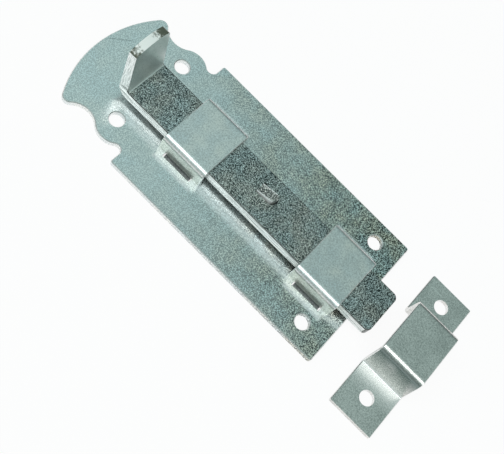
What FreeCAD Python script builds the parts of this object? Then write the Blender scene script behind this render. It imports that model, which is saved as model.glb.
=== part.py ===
"""Flat slide bolt of zinc-plated pressed steel with its keeper, in millimetres.

A scalloped base plate carries two U-shaped straps, staked through slots. A flat bolt slides in them
along X: its end is folded up into a handle, and a tongue lanced out of it stops it at the straps.
The keeper is a folded strip that lies ahead of the plate. X runs along the throw, Z out of the plate.
The origin is on the plate's back, midway between the front and the head pair of screw holes.
"""
import FreeCAD
import Part
import math
import os

Vector = FreeCAD.Vector

# Base plate: a blank with a crescent head, two ears with a screw hole each, and a plain body.
plate_thickness = 2.0
plate_width = 55.0
body_length = 87.4
front_margin = 9.9          # front screw holes to the front edge
head_reach = 32.6           # body's rear edge to the top of the crescent
head_radius = 43.3          # crescent's outer arc
waist_width = 40.5          # narrowest place, between the crescent and the ears
tip_radius = 2.5            # crescent's rounded tips
valley_radius = 7.0         # hollow between a tip and an ear
ear_radius = 6.8
ear_ahead = 1.2             # ear's centre ahead of its screw hole
ear_outside = 1.35          # ear's centre outside its screw hole
notch_radius = 2.0          # hollow between an ear and the body
body_corner_radius = 0.8
plate_edge_bevel = 0.3      # drawn-in upper edge that blanking leaves

# Screw holes of the plate, in two pairs.
screw_hole = 5.2
head_margin = 8.9           # body's rear edge back to the head pair
head_hole_spacing = 31.1
front_hole_spacing = 39.9

# Straps: two equal U-shaped guides with a tab on each foot.
slide_offset = -0.6         # slide's centre line from the plate's centre line
strap_stock = 1.5
strap_width = 17.8          # along the throw
strap_span = 22.8           # over both legs
strap_rise = 7.2            # plate's face to the strap's top
strap_bend_inside = 0.7
strap_edge_bevel = 0.2      # both edges of the strip, worn off
rear_strap_inset = 15.15    # body's rear edge to the strap's middle
front_strap_inset = 14.45   # front edge to the strap's middle
tab_width = 11.0
slot_end_play = 0.45        # slot beyond the tab, at each end
slot_outside = 1.45         # slot beyond the leg's outer face
stake_height = 1.0          # tab's end, spread outwards to fill the slot's lower part
stake_gap = 0.05

# Bolt: a flat bar with a folded handle and a lanced stop.
bolt_stock = 3.5
bolt_width = 17.0
bolt_gap = 0.3              # bolt's top under the straps
bolt_reach = 7.0            # front end ahead of the plate, as it stands
bolt_nose_radius = 2.0
bolt_edge_radius = 0.4
bolt_length = 106.6         # front end to the handle's front face, on top
handle_rise = 17.3          # bolt's top to the crown of the handle
handle_lean = 8.0           # degrees, backwards
handle_bend_inside = 0.8
handle_top_width = 15.4     # the handle narrows from the bolt's width
handle_top_stock = 2.8      # and from its stock, on the rear face
handle_skew = 0.7           # its top edge's middle from the bolt's centre line
handle_crown_radius = 27.0
handle_corner_radius = 1.5
tongue_root_ahead = 23.05    # rear strap's middle to the tongue's root, as it stands
tongue_length = 7.0
tongue_width = 3.6
tongue_rise = 1.6
tongue_offset = 1.3         # tongue's centre line from the bolt's
lance_gap = 0.5             # cut round the tongue

# Keeper: one strip folded into a hat with two nearly upright legs, y places as they lie.
keeper_stock = 1.6
keeper_width = 17.0
keeper_clear = 12.2         # plate's front edge to the keeper
keeper_height = 13.5
keeper_bend_inside = 0.8
keeper_edge_bevel = 0.25
keeper_near_end = -31.6
keeper_near_foot = -14.2
keeper_near_shoulder = -12.6
keeper_far_shoulder = 9.4
keeper_far_foot = 10.9
keeper_far_end = 27.4
keeper_near_hole = -22.7
keeper_far_hole = 20.2

level_tolerance = 1e-4       # for picking edges by place

# Places worked out from the sizes above.
hole_row_distance = body_length - front_margin + head_margin
head_hole_x = -hole_row_distance / 2
front_hole_x = hole_row_distance / 2
plate_front = front_hole_x + front_margin
plate_rear = plate_front - body_length
rear_strap_x = plate_rear + rear_strap_inset
front_strap_x = plate_front - front_strap_inset
strap_top = plate_thickness + strap_rise
bolt_top = strap_top - strap_stock - bolt_gap
bolt_front = plate_front + bolt_reach
handle_front = bolt_front - bolt_length
tongue_root_x = rear_strap_x + tongue_root_ahead
keeper_middle_x = plate_front + keeper_clear + keeper_width / 2


def line(start, end):
    """A straight edge."""
    return Part.LineSegment(start, end).toShape()


def arc_about(centre, start, end):
    """The shorter arc about a centre, from start to end."""
    radius = (start - centre).Length
    middle = (start - centre) + (end - centre)
    middle.normalize()
    return Part.Arc(start, centre + middle * radius, end).toShape()


def towards(start, end, distance):
    """The point at a distance from start, in the direction of end."""
    step = end - start
    step.normalize()
    return start + step * distance


def circles_meet(centre_a, radius_a, centre_b, radius_b):
    """The meeting point of two circles in XY that lies to the left of the way from a to b."""
    across = centre_b - centre_a
    gap = across.Length
    along = (radius_a ** 2 - radius_b ** 2 + gap ** 2) / (2 * gap)
    aside = math.sqrt(radius_a ** 2 - along ** 2)
    across.normalize()
    return centre_a + across * along + Vector(-across.y, across.x, 0) * aside


def prism(edges, travel):
    """The solid that a closed outline sweeps along a travel."""
    wire = Part.Wire(Part.__sortEdges__(edges))
    return Part.Face(wire).extrude(travel)


def rounded_path(points, radii):
    """Edges of an open path whose inner corners are rounded, one radius for each corner."""
    edges = []
    start = points[0]
    for corner, following, before, radius in zip(points[1:], points[2:], points, radii):
        back = before - corner
        onward = following - corner
        half_angle = back.getAngle(onward) / 2
        setback = radius / math.tan(half_angle)
        enter = towards(corner, before, setback)
        leave = towards(corner, following, setback)
        middle_of_corner = towards(corner, enter + leave - corner, radius / math.sin(half_angle))
        edges.append(line(start, enter))
        edges.append(arc_about(middle_of_corner, enter, leave))
        start = leave
    edges.append(line(start, points[-1]))
    return edges


def folded_strip(skin, stock, bend_inside, normal, travel):
    """A strip folded along one skin, with its stock on the right of the way that the skin runs.

    The skin's plane has the given normal, pointing at the viewer, and the strip sweeps along travel.
    """
    runs = [(b - a).normalize() for a, b in zip(skin, skin[1:])]
    sides = [run.cross(normal) for run in runs]
    inner_skin = [skin[0] + sides[0] * stock]
    skin_radii = []
    inner_radii = []
    for corner, run, next_run, side, next_side in zip(skin[1:], runs, runs[1:], sides, sides[1:]):
        inner_skin.append(corner + (side + next_side) * (stock / (1 + side.dot(next_side))))
        turns_left = run.cross(next_run).dot(normal) > 0
        skin_radii.append(bend_inside if turns_left else bend_inside + stock)
        inner_radii.append(bend_inside + stock if turns_left else bend_inside)
    inner_skin.append(skin[-1] + sides[-1] * stock)
    edges = rounded_path(skin, skin_radii) + rounded_path(inner_skin, inner_radii)
    edges.append(line(skin[0], inner_skin[0]))
    edges.append(line(skin[-1], inner_skin[-1]))
    return prism(edges, travel)


def bored(solid, x, y, top):
    """The solid with an upright screw hole through it, down from a height."""
    return solid.cut(Part.makeCylinder(screw_hole / 2, top, Vector(x, y, 0)))


def upper_edges(solid, height):
    """The edges of a solid that lie wholly at one height."""
    edges = []
    for edge in solid.Edges:
        box = edge.BoundBox
        if abs(box.ZMin - height) + abs(box.ZMax - height) < level_tolerance:
            edges.append(edge)
    return edges


def worn(strip, bevel):
    """A strip folded across X, with the edges of its two cut sides worn off, but for those it stands on."""
    outer = strip.BoundBox
    edges = []
    for edge in strip.Edges:
        box = edge.BoundBox
        on_side = min(box.XMax - outer.XMin, outer.XMax - box.XMin) < level_tolerance
        stands = box.ZMax - outer.ZMin < level_tolerance
        if on_side and not stands:
            edges.append(edge)
    return strip.makeChamfer(bevel, edges)


def plate_half():
    """The plate's half on the +Y side: a chain of tangent arcs from the crescent to the body."""
    head = Vector(plate_rear - head_reach + head_radius, 0, 0)
    ear = Vector(head_hole_x + ear_ahead, head_hole_spacing / 2 + ear_outside, 0)
    valley_y = waist_width / 2 + valley_radius
    valley_back = math.sqrt((valley_radius + ear_radius) ** 2 - (valley_y - ear.y) ** 2)
    valley = Vector(ear.x - valley_back, valley_y, 0)
    tip = circles_meet(head, head_radius - tip_radius, valley, valley_radius + tip_radius)
    notch_x = plate_rear - notch_radius
    notch_out = math.sqrt((notch_radius + ear_radius) ** 2 - (notch_x - ear.x) ** 2)
    notch = Vector(notch_x, ear.y + notch_out, 0)

    apex = head - Vector(head_radius, 0, 0)
    tip_start = towards(head, tip, head_radius)
    valley_start = towards(tip, valley, tip_radius)
    ear_start = towards(valley, ear, valley_radius)
    notch_start = towards(ear, notch, ear_radius)
    rear_start = Vector(plate_rear, notch.y, 0)
    half_width = plate_width / 2
    body = [
        rear_start,
        Vector(plate_rear, half_width, 0),
        Vector(plate_front, half_width, 0),
        Vector(plate_front, 0, 0),
    ]
    edges = [
        arc_about(head, apex, tip_start),
        arc_about(tip, tip_start, valley_start),
        arc_about(valley, valley_start, ear_start),
        arc_about(ear, ear_start, notch_start),
        arc_about(notch, notch_start, rear_start),
        line(body[-1], apex),
    ]
    edges += rounded_path(body, [body_corner_radius] * 2)
    return prism(edges, Vector(0, 0, plate_thickness))


def strap_sides():
    """Each leg's outer face and the way out of it, as (y, direction)."""
    return [(slide_offset + way * strap_span / 2, way) for way in (-1, 1)]


def base_plate():
    """The blank with its edge drawn in, screw holes and a slot for each strap tab."""
    half = plate_half()
    blank = half.fuse(half.mirror(Vector(), Vector(0, 1, 0))).removeSplitter()
    for x, spacing in ((head_hole_x, head_hole_spacing), (front_hole_x, front_hole_spacing)):
        for way in (-1, 1):
            blank = bored(blank, x, way * spacing / 2, plate_thickness)
    blank = blank.makeChamfer(plate_edge_bevel, upper_edges(blank, plate_thickness))
    slot_length = tab_width + 2 * slot_end_play
    slot_depth = strap_stock + slot_outside
    for x in (rear_strap_x, front_strap_x):
        for outer_face, way in strap_sides():
            near = outer_face + min(way * slot_outside, -way * strap_stock)
            corner = Vector(x - slot_length / 2, near, 0)
            blank = blank.cut(Part.makeBox(slot_length, slot_depth, plate_thickness, corner))
    return blank


def strap(x):
    """One strap: folded strip with shoulders on the plate and a staked tab through each slot."""
    left, right = [y for y, way in strap_sides()]
    start = x - strap_width / 2
    skin = [
        Vector(start, left, plate_thickness),
        Vector(start, left, strap_top),
        Vector(start, right, strap_top),
        Vector(start, right, plate_thickness),
    ]
    solid = folded_strip(skin, strap_stock, strap_bend_inside, Vector(1, 0, 0), Vector(strap_width, 0, 0))
    solid = worn(solid, strap_edge_bevel)
    stake_depth = strap_stock + slot_outside - stake_gap
    for outer_face, way in strap_sides():
        inner_face = outer_face - way * strap_stock
        tab_corner = Vector(x - tab_width / 2, min(inner_face, outer_face), 0)
        stake_corner = Vector(x - tab_width / 2, min(inner_face, inner_face + way * stake_depth), 0)
        solid = solid.fuse(Part.makeBox(tab_width, strap_stock, plate_thickness, tab_corner))
        solid = solid.fuse(Part.makeBox(tab_width, stake_depth, stake_height, stake_corner))
    return solid.removeSplitter()


def tongue_outline(grow):
    """The tongue's plan, from its root to its round end, grown by the cut's width where asked."""
    middle = slide_offset + tongue_offset
    half = tongue_width / 2 + grow
    end = tongue_root_x + tongue_length + grow
    shoulder = end - half
    root_near = Vector(tongue_root_x, middle - half, 0)
    root_far = Vector(tongue_root_x, middle + half, 0)
    near = Vector(shoulder, middle - half, 0)
    far = Vector(shoulder, middle + half, 0)
    nose = Part.Arc(near, Vector(end, middle, 0), far).toShape()
    return [line(root_near, near), nose, line(far, root_far), line(root_far, root_near)]


def lanced(bar):
    """The bar with the stop tongue cut free round its end and bent up from its root."""
    tall = Vector(0, 0, bolt_top + tongue_rise)
    bar = bar.cut(prism(tongue_outline(lance_gap), tall))
    ramp_start = Vector(tongue_root_x, slide_offset - bolt_width / 2, bolt_top)
    ramp_end = ramp_start + Vector(tongue_length, 0, tongue_rise)
    down = Vector(0, 0, -bolt_stock)
    ramp = [
        line(ramp_start, ramp_end),
        line(ramp_end, ramp_end + down),
        line(ramp_end + down, ramp_start + down),
        line(ramp_start + down, ramp_start),
    ]
    tongue = prism(ramp, Vector(0, bolt_width, 0)).common(prism(tongue_outline(0), tall))
    return bar.fuse(tongue).removeSplitter()


def handle_outline(x):
    """The handle seen along the throw: sides that narrow upwards, round corners and a crowned edge."""
    crown = Vector(x, slide_offset + handle_skew, bolt_top + handle_rise)
    crown_centre = crown - Vector(0, 0, handle_crown_radius)
    drop = handle_crown_radius - math.sqrt(handle_crown_radius ** 2 - (handle_top_width / 2) ** 2)
    corner_reach = handle_crown_radius - handle_corner_radius
    edges = []
    ends = []
    for way in (-1, 1):
        foot = Vector(x, slide_offset + way * bolt_width / 2, bolt_top)
        up = Vector(x, crown.y + way * handle_top_width / 2, crown.z - drop) - foot
        up.normalize()
        inward = Vector(0, -way * up.z, way * up.y)
        start = foot + inward * handle_corner_radius - crown_centre
        along = start.dot(up)
        rise = math.sqrt(along ** 2 - start.dot(start) + corner_reach ** 2) - along
        corner = crown_centre + start + up * rise
        side_end = corner - inward * handle_corner_radius
        crown_end = towards(crown_centre, corner, handle_crown_radius)
        edges.append(line(foot, side_end))
        edges.append(arc_about(corner, side_end, crown_end))
        ends.append((foot, crown_end))
    (foot_near, crown_near), (foot_far, crown_far) = ends
    edges.append(Part.Arc(crown_near, crown, crown_far).toShape())
    edges.append(line(foot_far, foot_near))
    return edges


def thinned(bar):
    """The bar with its handle's rear face sloped, from the full stock at the bend to less at the top."""
    lean = math.radians(handle_lean)
    up = Vector(-math.sin(lean), 0, math.cos(lean))
    back = Vector(-math.cos(lean), 0, -math.sin(lean))
    side = slide_offset - bolt_width / 2
    foot = Vector(handle_front, side, bolt_top) + back * bolt_stock
    top = foot + up * (handle_rise + bolt_stock)
    inset = top - back * (bolt_stock - handle_top_stock)
    wedge = [line(foot, top), line(top, inset), line(inset, foot)]
    return bar.cut(prism(wedge, Vector(0, bolt_width, 0)))


def is_upright(edge):
    """Whether an edge stands straight up."""
    return edge.BoundBox.XLength + edge.BoundBox.YLength < level_tolerance


def bolt():
    """The bolt: a folded bar with round nose corners, a crowned handle and the lanced stop."""
    side = slide_offset - bolt_width / 2
    blank_rise = handle_rise + bolt_stock
    lean = math.tan(math.radians(handle_lean)) * blank_rise
    skin = [
        Vector(handle_front - lean, side, bolt_top + blank_rise),
        Vector(handle_front, side, bolt_top),
        Vector(bolt_front, side, bolt_top),
    ]
    across = Vector(0, bolt_width, 0)
    bar = folded_strip(skin, bolt_stock, handle_bend_inside, Vector(0, -1, 0), across)
    zone_start = Vector(handle_front - bolt_length, side, bolt_top)
    handle_zone = Part.makeBox(bolt_length + bolt_stock, bolt_width, 2 * blank_rise, zone_start)
    outline = prism(handle_outline(zone_start.x), Vector(bolt_length + bolt_stock, 0, 0))
    nose = [e for e in bar.Edges if is_upright(e) and e.BoundBox.XMin > bolt_front - level_tolerance]
    bar = bar.makeFillet(bolt_nose_radius, nose)
    bar = bar.makeFillet(bolt_edge_radius, upper_edges(bar, bolt_top))
    bar = bar.cut(handle_zone.cut(outline))
    return lanced(thinned(bar))


def keeper():
    """The keeper: a folded strip with a screw hole in each flange."""
    start = keeper_middle_x - keeper_width / 2
    skin = [
        Vector(start, keeper_near_end, keeper_stock),
        Vector(start, keeper_near_foot, keeper_stock),
        Vector(start, keeper_near_shoulder, keeper_height),
        Vector(start, keeper_far_shoulder, keeper_height),
        Vector(start, keeper_far_foot, keeper_stock),
        Vector(start, keeper_far_end, keeper_stock),
    ]
    solid = folded_strip(skin, keeper_stock, keeper_bend_inside, Vector(1, 0, 0), Vector(keeper_width, 0, 0))
    solid = worn(solid, keeper_edge_bevel)
    for y in (keeper_near_hole, keeper_far_hole):
        solid = bored(solid, keeper_middle_x, y, keeper_stock)
    return solid


os.makedirs("parts", exist_ok=True)
pieces = {
    "base_plate": base_plate(),
    "rear_strap": strap(rear_strap_x),
    "front_strap": strap(front_strap_x),
    "bolt": bolt(),
    "keeper": keeper(),
}
for name, shape in pieces.items():
    shape.exportStep("parts/" + name + ".step")
    print(name, len(shape.Solids), "solid", round(shape.Volume, 1), "mm3", shape.isValid())
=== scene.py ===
"""Looks of a flat slide bolt with its keeper: zinc-plated pressed steel in a plain white studio."""
import math

import bmesh
import bpy
from mathutils import Matrix, Vector

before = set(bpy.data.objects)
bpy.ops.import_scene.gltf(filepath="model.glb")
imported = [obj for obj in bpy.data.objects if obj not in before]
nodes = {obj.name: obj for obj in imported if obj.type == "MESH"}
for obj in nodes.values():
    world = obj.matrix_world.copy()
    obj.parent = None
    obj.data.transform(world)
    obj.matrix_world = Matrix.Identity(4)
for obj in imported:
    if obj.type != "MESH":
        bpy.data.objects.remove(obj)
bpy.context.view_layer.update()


# Base plate: blanked from rolled steel sheet, drilled and slotted, then zinc-plated.
# The zinc is smooth and pale on the crescent and grows dark and sandy towards the front, most on
# the far side. It is rubbed bright along the edges. The band beside the bolt and the lanes beside
# the slots are painted reflection: paler, smoother and less metallic zinc.
mm = 0.001


class Shade:
    """A value in a material's node tree. Operators on values add Math nodes."""

    def __init__(self, tree, socket=None):
        self.tree = tree
        self.socket = socket

    def node(self, kind, settings=None, sockets=None, out=0):
        """Adds a node: its settings first, then the values or links of its sockets."""
        made = self.tree.nodes.new("ShaderNode" + kind)
        for name, value in (settings or {}).items():
            setattr(made, name, value)
        for key, value in (sockets or {}).items():
            if isinstance(value, Shade):
                self.tree.links.new(value.socket, made.inputs[key])
            else:
                made.inputs[key].default_value = value
        return Shade(self.tree, made.outputs[out])

    def maths(self, operation, first, second=0.0):
        return self.node("Math", {"operation": operation}, {0: first, 1: second})

    def __add__(self, other):
        return self.maths("ADD", self, other)

    def __sub__(self, other):
        return self.maths("SUBTRACT", self, other)

    def __rsub__(self, other):
        return self.maths("SUBTRACT", other, self)

    def __mul__(self, other):
        return self.maths("MULTIPLY", self, other)

    __radd__ = __add__
    __rmul__ = __mul__

    def __abs__(self):
        return self.maths("ABSOLUTE", self)

    def rise(self, low, high):
        """0 where the value is at or before low, 1 at or past high, straight between."""
        sockets = {"Value": self, "From Min": low, "From Max": high}
        return self.node("MapRange", {"clamp": True}, sockets)

    def spread(self, low, high):
        """From low to high, where this value goes from 0 to 1."""
        return self * (high - low) + low

    def blend(self, other, share):
        """This value with a share of another in it."""
        return self * (1 - share) + other * share

    def shift(self, reach):
        """A noise made a shift to both sides, reach wide in all."""
        return (self - 0.5) * reach

    def noise(self, size, roughness=0.6, detail=2):
        """Even noise from 0 to 1 whose lumps are about one size across, in metres.

        The pattern is turned, so that no flat face cuts it along its own grid.
        """
        turned = self.node("Mapping", None, {"Vector": self, "Rotation": grain_turn})
        sockets = {"Vector": turned, "Scale": 1 / size, "Detail": detail, "Roughness": roughness}
        return self.node("TexNoise", None, sockets)

    def axis(self, name):
        """One of the three numbers of a place."""
        return self.node("SeparateXYZ", None, {0: self}, name)

    def mix(self, low, high):
        """A colour between two, by this value."""
        return self.node("Mix", {"data_type": "RGBA"}, {0: self, 6: low, 7: high}, 2)


def extent(node):
    """Lowest and highest corner of a CAD node, in metres."""
    corners = nodes[node].bound_box
    return Vector(corners[0]), Vector(corners[6])


def new_material(name, metallic=1.0):
    """An empty material, the place on the piece, and its metal shader."""
    material = bpy.data.materials.new(name)
    material.use_nodes = True
    tree = material.node_tree
    tree.nodes.clear()
    place = Shade(tree).node("TexCoord", out="Object")
    metal = tree.nodes.new("ShaderNodeBsdfPrincipled")
    metal.inputs["Metallic"].default_value = metallic
    output = tree.nodes.new("ShaderNodeOutputMaterial")
    tree.links.new(metal.outputs["BSDF"], output.inputs["Surface"])
    return material, place, metal


def feed(metal, colour, roughness, height, relief, metallic=None):
    """Links what changes over a surface to its metal shader; relief is the grain's, in metres."""
    tree = metal.id_data
    tree.links.new(colour.socket, metal.inputs["Base Color"])
    tree.links.new(roughness.socket, metal.inputs["Roughness"])
    bump = height.node("Bump", None, {"Height": height, "Strength": 1.0, "Distance": relief})
    tree.links.new(bump.socket, metal.inputs["Normal"])
    if metallic:
        tree.links.new(metallic.socket, metal.inputs["Metallic"])


def speckled(name, size, levels, tones, roughness, relief):
    """A plain finish in two tones: one grain gives its colour, roughness and relief."""
    material, place, metal = new_material(name)
    grain = place.noise(size)
    feed(metal, grain.rise(*levels).mix(*tones), grain.spread(*roughness), grain, relief)
    return material


def scratch(place, start, end):
    """1 along a fine scratch from one place to another in plan, in metres, 0 elsewhere."""
    length = math.dist(start, end)
    way = [(b - a) / length for a, b in zip(start, end)]
    east = place.axis("X") - start[0]
    north = place.axis("Y") - start[1]
    along = east * way[0] + north * way[1]
    aside = abs(north * way[0] - east * way[1])
    inside = along.rise(0, scratch_fade) * along.rise(length, length - scratch_fade)
    return aside.rise(scratch_half, 0) * inside


def dress(node, *materials):
    """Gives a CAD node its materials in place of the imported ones."""
    slots = nodes[node].data.materials
    slots.clear()
    for material in materials:
        slots.append(material)


straps = ("rear_strap", "front_strap")
plate_low, plate_high = extent("base_plate")
bolt_low, bolt_high = extent("bolt")
slide_line = (bolt_low.y + bolt_high.y) / 2

grain_turn = (0.5, 0.6, 0.4)
sandy_edge = 0.7                # noise roughness of a sharp, sandy grain
cloud_edge = 0.5                # and of soft patches
most_levels = (0.35, 0.65)      # between which most of a noise lies
slanted = 0.1                   # a face's normal has at least this much along an axis it leans to
square_on = 0.95                # and more than this much along an axis it is square to

sheet_grain = 0.37 * mm
sheet_levels = (0.48, 0.55)
sheet_patch = 9 * mm
sheet_patch_detail = 3
tint_patch = 8 * mm
sheet_relief = 0.01 * mm
crescent_dark = (0.63, 0.67, 0.67, 1)
crescent_teal = (0.92, 0.99, 1.0, 1)
crescent_pale = (1.0, 1.0, 0.96, 1)
crescent_roughness = 0.24
sandy_dark = (0.0, 0.008, 0.008, 1)
sandy_teal = (0.80, 0.95, 0.94, 1)
sandy_olive = (1.0, 0.98, 0.83, 1)
sandy_extra_roughness = 0.1
pale_until = plate_low.x + 30.9 * mm
sandy_from = plate_high.x + 2.9 * mm
far_share = 0.55                # how much the far side runs ahead of the near one
patch_shift = 60 * mm

scratch_half = 0.35 * mm
scratch_fade = 1.5 * mm
scratch_share = 0.4
crescent_scratch = [(plate_low.x + 0.5 * mm, 2.7 * mm), (plate_low.x + 7.5 * mm, 10.0 * mm)]

# Painted reflection beside the bolt and the slots, where their bright sides mirror in the plate.
reflection_middle = bolt_low.y - 3.6 * mm
reflection_half = 2.5 * mm
reflection_from = bolt_low.x + 1.86 * mm
reflection_full = bolt_low.x + 9.86 * mm
reflection_share = 0.9
reflection_matt = 0.75
reflection_polish = 0.14
lane_outside = 1.4 * mm         # lane's middle outside the staked ends
lane_half = 1.7 * mm
lane_fade = 1.5 * mm

rim_tones = ((0.62, 0.64, 0.63, 1), (1.0, 1.0, 0.99, 1))
rim_roughness = (0.2, 0.3)
rim_relief = 0.004 * mm

sheet_zinc, place, metal = new_material("sheet_zinc")
grain = place.noise(sheet_grain, sandy_edge)
patch = place.noise(sheet_patch, detail=sheet_patch_detail)
tint = place.noise(tint_patch, cloud_edge).rise(*most_levels)
along = place.axis("X") + place.axis("Y") * far_share + patch.shift(patch_shift)
# Painted reflection: a pale band beside the bolt, then lanes beside each strap's slots.
reflection_beside_bolt = abs(place.axis("Y") - reflection_middle).rise(reflection_half, 0)
painted_reflection = reflection_beside_bolt * place.axis("X").rise(reflection_from, reflection_full) * reflection_share
for strap in straps:
    strap_low, strap_high = extent(strap)
    lane_place = (strap_high.y - strap_low.y) / 2 + lane_outside
    reflection_lane = abs(abs(place.axis("Y") - slide_line) - lane_place).rise(lane_half, lane_half / 2)
    ahead = place.axis("X").rise(strap_low.x, strap_low.x + lane_fade)
    behind = place.axis("X").rise(strap_high.x, strap_high.x - lane_fade)
    painted_reflection = place.maths("MAXIMUM", painted_reflection, reflection_lane * ahead * behind * reflection_share)
sandy = along.rise(pale_until, sandy_from) * (1 - painted_reflection)
zinc_dark = sandy.mix(crescent_dark, sandy_dark)
zinc_light = sandy.mix(tint.mix(crescent_teal, crescent_pale), tint.mix(sandy_teal, sandy_olive))
zinc_colour = grain.rise(*sheet_levels).mix(zinc_dark, zinc_light)
sheet_colour = (scratch(place, *crescent_scratch) * scratch_share).mix(zinc_colour, sandy_dark)
sheet_roughness = sandy * sandy_extra_roughness + crescent_roughness - painted_reflection * reflection_polish
sheet_metallic = 1 - painted_reflection * reflection_matt
feed(metal, sheet_colour, sheet_roughness, grain * (1 - painted_reflection), sheet_relief, sheet_metallic)

rim_zinc = speckled("rim_zinc", sheet_grain, most_levels, rim_tones, rim_roughness, rim_relief)

dress("base_plate", sheet_zinc, rim_zinc)
for face in nodes["base_plate"].data.polygons:
    face.material_index = 1 if slanted < face.normal.z < square_on else 0


# Straps: two U-shaped guides folded from smooth strip, their tabs staked through the plate.
# The zinc on them is even and pale. The legs are greyer as painted shade, and the tabs' spread ends,
# down in the slots, are dull and painted dark as shade.
strip_grain = 0.42 * mm
strip_levels = (0.38, 0.6)
strip_patch = 7 * mm
strip_patch_share = 0.2
strip_dark = (0.60, 0.62, 0.61, 1)
strip_teal = (0.87, 0.94, 0.96, 1)
strip_olive = (0.97, 0.96, 0.91, 1)
strip_tint_levels = (0.3, 0.7)
strip_tint_detail = 1
strip_roughness = (0.29, 0.35)
strip_relief = 0.004 * mm
# Painted shade: the legs are greyer than the strip.
leg_shade_tones = ((0.46, 0.49, 0.45, 1), (0.80, 0.84, 0.78, 1))
leg_roughness = (0.32, 0.38)
# Painted shade: the tabs' ends down in the slots are dull and near black.
stake_shade_tones = ((0.14, 0.15, 0.15, 1), (0.44, 0.46, 0.46, 1))
stake_levels = (0.3, 0.7)
stake_roughness = (0.5, 0.6)
stake_relief = 0.01 * mm

strip_zinc, place, metal = new_material("strip_zinc")
grain = place.noise(strip_grain)
tone = grain.blend(place.noise(strip_patch, cloud_edge), strip_patch_share).rise(*strip_levels)
tint = place.noise(strip_patch, cloud_edge, strip_tint_detail).rise(*strip_tint_levels)
strip_colour = tone.mix(strip_dark, tint.mix(strip_teal, strip_olive))
feed(metal, strip_colour, grain.spread(*strip_roughness), grain, strip_relief)

leg_shaded_zinc = speckled("leg_shaded_zinc", strip_grain, most_levels, leg_shade_tones, leg_roughness, strip_relief)
stake_shaded_zinc = speckled("stake_shaded_zinc", strip_grain, stake_levels, stake_shade_tones, stake_roughness, stake_relief)

strap_finishes = [strip_zinc, leg_shaded_zinc, stake_shaded_zinc]
for strap in straps:
    dress(strap, *strap_finishes)
    for face in nodes[strap].data.polygons:
        # Faces below the plate's top, down in the slots, get the dark painted shade.
        if face.center.z < plate_high.z:
            finish = stake_shaded_zinc
        # Faces square to Y, the legs, get the greyer painted shade.
        elif abs(face.normal.y) > square_on:
            finish = leg_shaded_zinc
        else:
            finish = strip_zinc
        face.material_index = strap_finishes.index(finish)


# Bolt: a sheared length of hot-rolled flat bar, folded up at one end for the handle.
# Its rolled faces stay dark and sandy under the zinc, the handle is pressed smoother, and the
# sheared sides are bright and streaked. The handle's top has a painted highlight: white and little
# metallic across its middle, darker towards both sides.
bar_stock = 3.5 * mm
bar_top = bolt_low.z + bar_stock
bar_grain = 0.3 * mm
bar_levels = (0.475, 0.58)
bar_patch = 6 * mm
bar_patch_shift = 0.06
bar_dark = (0.0, 0.01, 0.01, 1)
bar_teal = (0.82, 0.94, 0.94, 1)
bar_olive = (0.95, 0.96, 0.90, 1)
bar_roughness = (0.3, 0.5)
bar_relief = 0.014 * mm
underside = -0.5                # a face's normal along Z, on the side turned down

handle_above = bar_top + 1.6 * mm
handle_patch_share = 0.5
handle_tones = ((0.70, 0.76, 0.73, 1), (0.95, 1.0, 0.98, 1))
handle_roughness = (0.24, 0.34)
handle_relief = 0.003 * mm
handle_metallic = 0.8

sheared_light_and_highlight = (1.0, 1.0, 0.99, 1)
sheared_bar_dark = (0.36, 0.38, 0.37, 1)
sheared_handle_dark = (0.66, 0.68, 0.67, 1)
sheared_levels = (0.41, 0.5)
sheared_roughness = (0.22, 0.32)
sheared_relief = 0.006 * mm
sheared_metallic = 0.3
streak_length = 25              # in widths of the streak
bar_stretch = (1 / streak_length, 1, 1)
handle_stretch = (1, 1, 1 / streak_length)

# Painted highlight on the handle's top: white and little metallic in the middle, darker to both sides.
crown_above = bolt_high.z - 2.7 * mm
crown_up = 0.6                  # a face's normal along Z, on the crown
crown_middle = slide_line - 0.6 * mm
crown_roughness = (0.24, 0.34)
crown_relief = 0.004 * mm
crown_metallic = 0.15
bare_steel_and_highlight = (0.95, 0.95, 0.92, 1)
highlight_half = 3.0 * mm
crown_side_dark = (0.10, 0.11, 0.08, 1)
crown_side_from = 5.6 * mm
crown_side_spot = 0.9 * mm
crown_side_shift = 9 * mm

# The tongue's rims are a painted highlight: white and little metallic over a darker middle.
tongue_root = bolt_high.x - 56.2 * mm
tongue_end = tongue_root + 7.05 * mm
tongue_middle = slide_line + 1.3 * mm
tongue_half = 1.8 * mm
tongue_within = 1.02 * tongue_half
tongue_flat_half = 1.3 * mm
tongue_levels = (0.5, 0.62)
tongue_highlight_shift = 0.6 * mm
tongue_roughness = (0.3, 0.4)
tongue_relief = 0.004 * mm
tongue_metallic = 0.15
lance_end = tongue_root + 7.6 * mm
lance_half = tongue_half + 0.55 * mm

# Painted shade: the rounded edges of the bar are near black and glossy, a dark line along each edge.
edge_shade_tones = ((0.03, 0.035, 0.035, 1), (0.22, 0.24, 0.23, 1))
edge_roughness = (0.1, 0.2)
edge_relief = 0.003 * mm

rolled_zinc, place, metal = new_material("rolled_zinc")
grain = place.noise(bar_grain, sandy_edge)
tone = (grain + place.noise(bar_patch, cloud_edge).shift(bar_patch_shift)).rise(*bar_levels)
tint = place.noise(tint_patch, cloud_edge).rise(*most_levels)
bar_colour = tone.mix(bar_dark, tint.mix(bar_teal, bar_olive))
feed(metal, bar_colour, grain.spread(*bar_roughness), grain, bar_relief)

pressed_zinc, place, metal = new_material("pressed_zinc", handle_metallic)
grain = place.noise(bar_grain)
tone = grain.blend(place.noise(bar_patch, cloud_edge), handle_patch_share).rise(*most_levels)
feed(metal, tone.mix(*handle_tones), grain.spread(*handle_roughness), grain, handle_relief)


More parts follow.
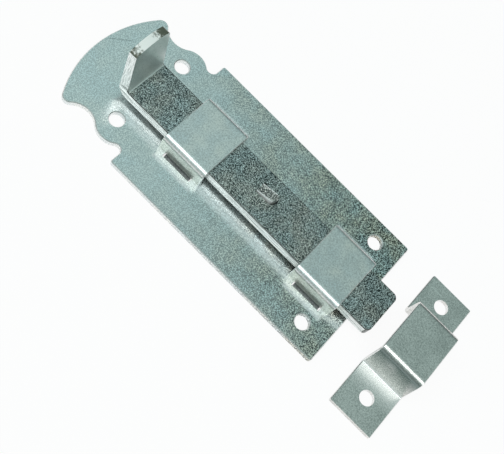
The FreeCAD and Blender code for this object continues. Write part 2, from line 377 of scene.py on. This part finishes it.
def sheared(name, stretch, dark):
    """A bright sheared side, streaked along the axis that stretch draws out."""
    material, place, metal = new_material(name, sheared_metallic)
    streak = place.node("Mapping", None, {"Vector": place, "Scale": stretch}).noise(bar_grain)
    streak_colour = streak.rise(*sheared_levels).mix(dark, sheared_light_and_highlight)
    feed(metal, streak_colour, streak.spread(*sheared_roughness), streak, sheared_relief)
    return material


sheared_bar = sheared("sheared_bar", bar_stretch, sheared_bar_dark)
sheared_handle = sheared("sheared_handle", handle_stretch, sheared_handle_dark)

crown_steel, place, metal = new_material("crown_steel", crown_metallic)
grain = place.noise(bar_grain)
# Painted highlight: white across the crown's middle, darker towards both sides.
aside = abs(place.axis("Y") - crown_middle) + place.noise(crown_side_spot).shift(crown_side_shift)
crown_colour = aside.rise(highlight_half, crown_side_from).mix(bare_steel_and_highlight, crown_side_dark)
feed(metal, crown_colour, grain.spread(*crown_roughness), grain, crown_relief)

tongue_zinc, place, metal = new_material("tongue_zinc", tongue_metallic)
grain = place.noise(bar_grain)
flat_colour = grain.rise(*tongue_levels).mix(bar_dark, bar_olive)
# Painted highlight along both rims of the tongue.
aside = abs(place.axis("Y") - tongue_middle) + grain.shift(tongue_highlight_shift)
tongue_colour = aside.rise(tongue_flat_half, tongue_half).mix(flat_colour, sheared_light_and_highlight)
feed(metal, tongue_colour, grain.spread(*tongue_roughness), grain, tongue_relief)

edge_shaded_zinc = speckled("edge_shaded_zinc", bar_grain, most_levels, edge_shade_tones, edge_roughness, edge_relief)

bolt_finishes = [rolled_zinc, pressed_zinc, sheared_bar, sheared_handle]
bolt_finishes += [crown_steel, tongue_zinc, edge_shaded_zinc]
dress("bolt", *bolt_finishes)
for face in nodes["bolt"].data.polygons:
    middle, normal = face.center, face.normal
    off_tongue = abs(middle.y - tongue_middle)
    if middle.z > crown_above and normal.z > crown_up:
        finish = crown_steel
    elif tongue_root < middle.x < tongue_end and off_tongue < tongue_within:
        finish = tongue_zinc if abs(normal.x) + abs(normal.y) > slanted else rolled_zinc
    # The lance's walls round the tongue take the dark rolled finish, not the bright sheared one: painted
    # shade in the slit.
    elif tongue_root < middle.x < lance_end and off_tongue < lance_half:
        finish = rolled_zinc
    elif abs(normal.y) > slanted and middle.z > handle_above:
        finish = sheared_handle
    elif abs(normal.y) > square_on:
        finish = sheared_bar
    # Rounded edges get the near-black painted shade.
    elif abs(normal.y) > slanted:
        finish = edge_shaded_zinc
    # Painted light: the underside, rolled bar, takes the bright sheared finish so that its reflection
    # lightens the dark strip under the bolt.
    elif normal.z < underside:
        finish = sheared_bar
    elif middle.z > handle_above or normal.x > slanted and middle.z > bar_top:
        finish = pressed_zinc
    else:
        finish = rolled_zinc
    face.material_index = bolt_finishes.index(finish)


# Keeper: one strip folded into a hat and drilled for two screws, zinc-plated like the straps.
# It lies loose ahead of the plate, on the floor. Its near leg is painted darker towards the top,
# as painted shade, and its near flange has a painted reflection beside the fold: paler and less
# metallic.
keeper_low, keeper_high = extent("keeper")
keeper_grain = 0.42 * mm
keeper_levels = (0.38, 0.62)
keeper_patch_share = 0.2
keeper_tones = ((0.51, 0.52, 0.50, 1), (0.90, 0.89, 0.86, 1))
keeper_roughness = (0.24, 0.32)
keeper_relief = 0.005 * mm
keeper_slanted = 0.3            # a face's normal along X, on the worn edges
near_leg_from = keeper_low.y + 19.7 * mm
near_leg_full = keeper_low.y + 19.0 * mm
leg_foot = 3.8 * mm
leg_head = keeper_high.z - 2.0 * mm
# Painted shade: the near leg darkens towards the top.
near_leg_shade_dark = (0.14, 0.20, 0.19, 1)
near_leg_shade_share = 0.9
flange_top = 1.8 * mm
flange_clear = 3.0 * mm
# Painted reflection: a pale, less metallic patch on the near flange beside the fold, where the leg
# mirrors in it.
flange_reflection_from = keeper_low.y + 8.6 * mm
flange_reflection_full = keeper_low.y + 16.6 * mm
flange_reflection_share = 0.7
flange_reflection_matt = 0.75
flange_reflection_light = (1.0, 1.0, 0.99, 1)
scratch_start = (keeper_low.x + 0.7 * mm, keeper_high.y - 3.9 * mm)
scratch_end = (keeper_low.x + 7.2 * mm, keeper_high.y - 4.0 * mm)

keeper_zinc, place, metal = new_material("keeper_zinc")
across, up = place.axis("Y"), place.axis("Z")
grain = place.noise(keeper_grain)
tone = grain.blend(place.noise(strip_patch, cloud_edge), keeper_patch_share).rise(*keeper_levels)
near_side = across.rise(near_leg_from, near_leg_full)
# Painted shade on the near leg, darker towards the top.
near_leg_shade = up.rise(leg_foot, leg_head) * near_side * near_leg_shade_share
on_flange = near_side * up.rise(flange_clear, flange_top)
# Painted reflection of the near leg on the flange beside the fold.
flange_reflection = across.rise(flange_reflection_from, flange_reflection_full) * on_flange * flange_reflection_share
zinc_colour = flange_reflection.mix(near_leg_shade.mix(tone.mix(*keeper_tones), near_leg_shade_dark), flange_reflection_light)
keeper_colour = scratch(place, scratch_start, scratch_end).mix(zinc_colour, bare_steel_and_highlight)
keeper_height = grain * (1 - flange_reflection)
keeper_metallic = 1 - flange_reflection * flange_reflection_matt
feed(metal, keeper_colour, grain.spread(*keeper_roughness), keeper_height, keeper_relief, keeper_metallic)

dress("keeper", keeper_zinc, rim_zinc)
for face in nodes["keeper"].data.polygons:
    face.material_index = 1 if keeper_slanted < abs(face.normal.x) < square_on else 0


# Studio: a white paper floor under the object and a pale blue-grey room round it.
# One wide softbox hangs over the near side, where the camera stands.
floor_half = 3.0
floor_drop = 0.2 * mm
floor_glow = 0.92
paper_white = (0.95, 0.95, 0.95, 1)
white = (1, 1, 1, 1)

floor_mesh = bpy.data.meshes.new("floor")
floor_sheet = bmesh.new()
floor_place = Matrix.Translation((0, 0, -floor_drop))
bmesh.ops.create_grid(floor_sheet, x_segments=1, y_segments=1, size=floor_half, matrix=floor_place)
floor_sheet.to_mesh(floor_mesh)
floor_sheet.free()
floor = bpy.data.objects.new("floor", floor_mesh)
bpy.context.scene.collection.objects.link(floor)

paper = bpy.data.materials.new("paper")
paper.use_nodes = True
tree = paper.node_tree
tree.nodes.clear()
rays = Shade(tree).node("LightPath")
ray_kinds = ("Is Camera Ray", "Is Glossy Ray", "Is Transmission Ray")
camera_ray, glossy_ray, clear_ray = [Shade(tree, rays.socket.node.outputs[kind]) for kind in ray_kinds]
straight_ray = rays.maths("MAXIMUM", camera_ray, rays.maths("MAXIMUM", glossy_ray, clear_ray))
matt = rays.node("BsdfDiffuse", None, {"Color": paper_white})
glow = rays.node("Emission", None, {"Color": white, "Strength": 1.0})
surface = rays.node("MixShader", None, {0: straight_ray * floor_glow, 1: matt, 2: glow})
output = tree.nodes.new("ShaderNodeOutputMaterial")
tree.links.new(surface.socket, output.inputs["Surface"])
floor_mesh.materials.append(paper)

zenith_left = (0.45, 0.605, 0.60, 1)
zenith_right = (0.275, 0.37, 0.35, 1)
horizon_near = (0.40, 0.44, 0.43, 1)
horizon_far = (0.06, 0.08, 0.08, 1)
left_to_right = (-0.3, 0.3)     # parts of a direction along X, Y and Z
near_to_far = (-0.3, 0.6)
horizon_to_zenith = (0.1, 0.8)

world = bpy.data.worlds.new("room")
bpy.context.scene.world = world
world.use_nodes = True
tree = world.node_tree
tree.nodes.clear()
way = Shade(tree).node("TexCoord", out="Generated")
overhead = way.axis("X").rise(*left_to_right).mix(zenith_left, zenith_right)
level = way.axis("Y").rise(*near_to_far).mix(horizon_near, horizon_far)
room = way.axis("Z").rise(*horizon_to_zenith).mix(level, overhead)
background = tree.nodes.new("ShaderNodeBackground")
tree.links.new(room.socket, background.inputs["Color"])
output = tree.nodes.new("ShaderNodeOutputWorld")
tree.links.new(background.outputs["Background"], output.inputs["Surface"])

lamp_reach = 1.0
lamp_rise = math.radians(71)
lamp_length = 1.6
lamp_width = 0.55
lamp_power = 5.8

lamp_data = bpy.data.lights.new("softbox", "AREA")
lamp_data.shape = "RECTANGLE"
lamp_data.size = lamp_length
lamp_data.size_y = lamp_width
lamp_data.energy = lamp_power
lamp = bpy.data.objects.new("softbox", lamp_data)
bpy.context.scene.collection.objects.link(lamp)
lamp_way = Vector((0, -math.cos(lamp_rise), math.sin(lamp_rise)))
lamp.location = lamp_way * lamp_reach
lamp.rotation_euler = lamp_way.to_track_quat("Z", "Y").to_euler()


# Camera: over the near side, turned so that the throw runs down to the right.
# Its place and lens were fitted to the plate's outline, its holes and the straps in the photo.
image_width = 504
focal_pixels = 955.7
camera_aim = Vector((10.98, -7.69, 0)) * mm
camera_distance = 306.15 * mm
camera_tilt = math.radians(28.569)
camera_pan = math.radians(3.437)
camera_roll = math.radians(41.88)
nearest_in_view = 10 * mm

camera_data = bpy.data.cameras.new("camera")
camera_data.lens = camera_data.sensor_width * focal_pixels / image_width
camera_data.clip_start = nearest_in_view
camera = bpy.data.objects.new("camera", camera_data)
bpy.context.scene.collection.objects.link(camera)
turn = Matrix.Rotation(camera_pan, 4, "Z") @ Matrix.Rotation(camera_tilt, 4, "X")
eye = camera_aim + turn.to_3x3() @ Vector((0, 0, camera_distance))
camera.matrix_world = Matrix.Translation(eye) @ turn @ Matrix.Rotation(camera_roll, 4, "Z")
bpy.context.scene.camera = camera
bpy.context.scene.view_settings.view_transform = "Standard"
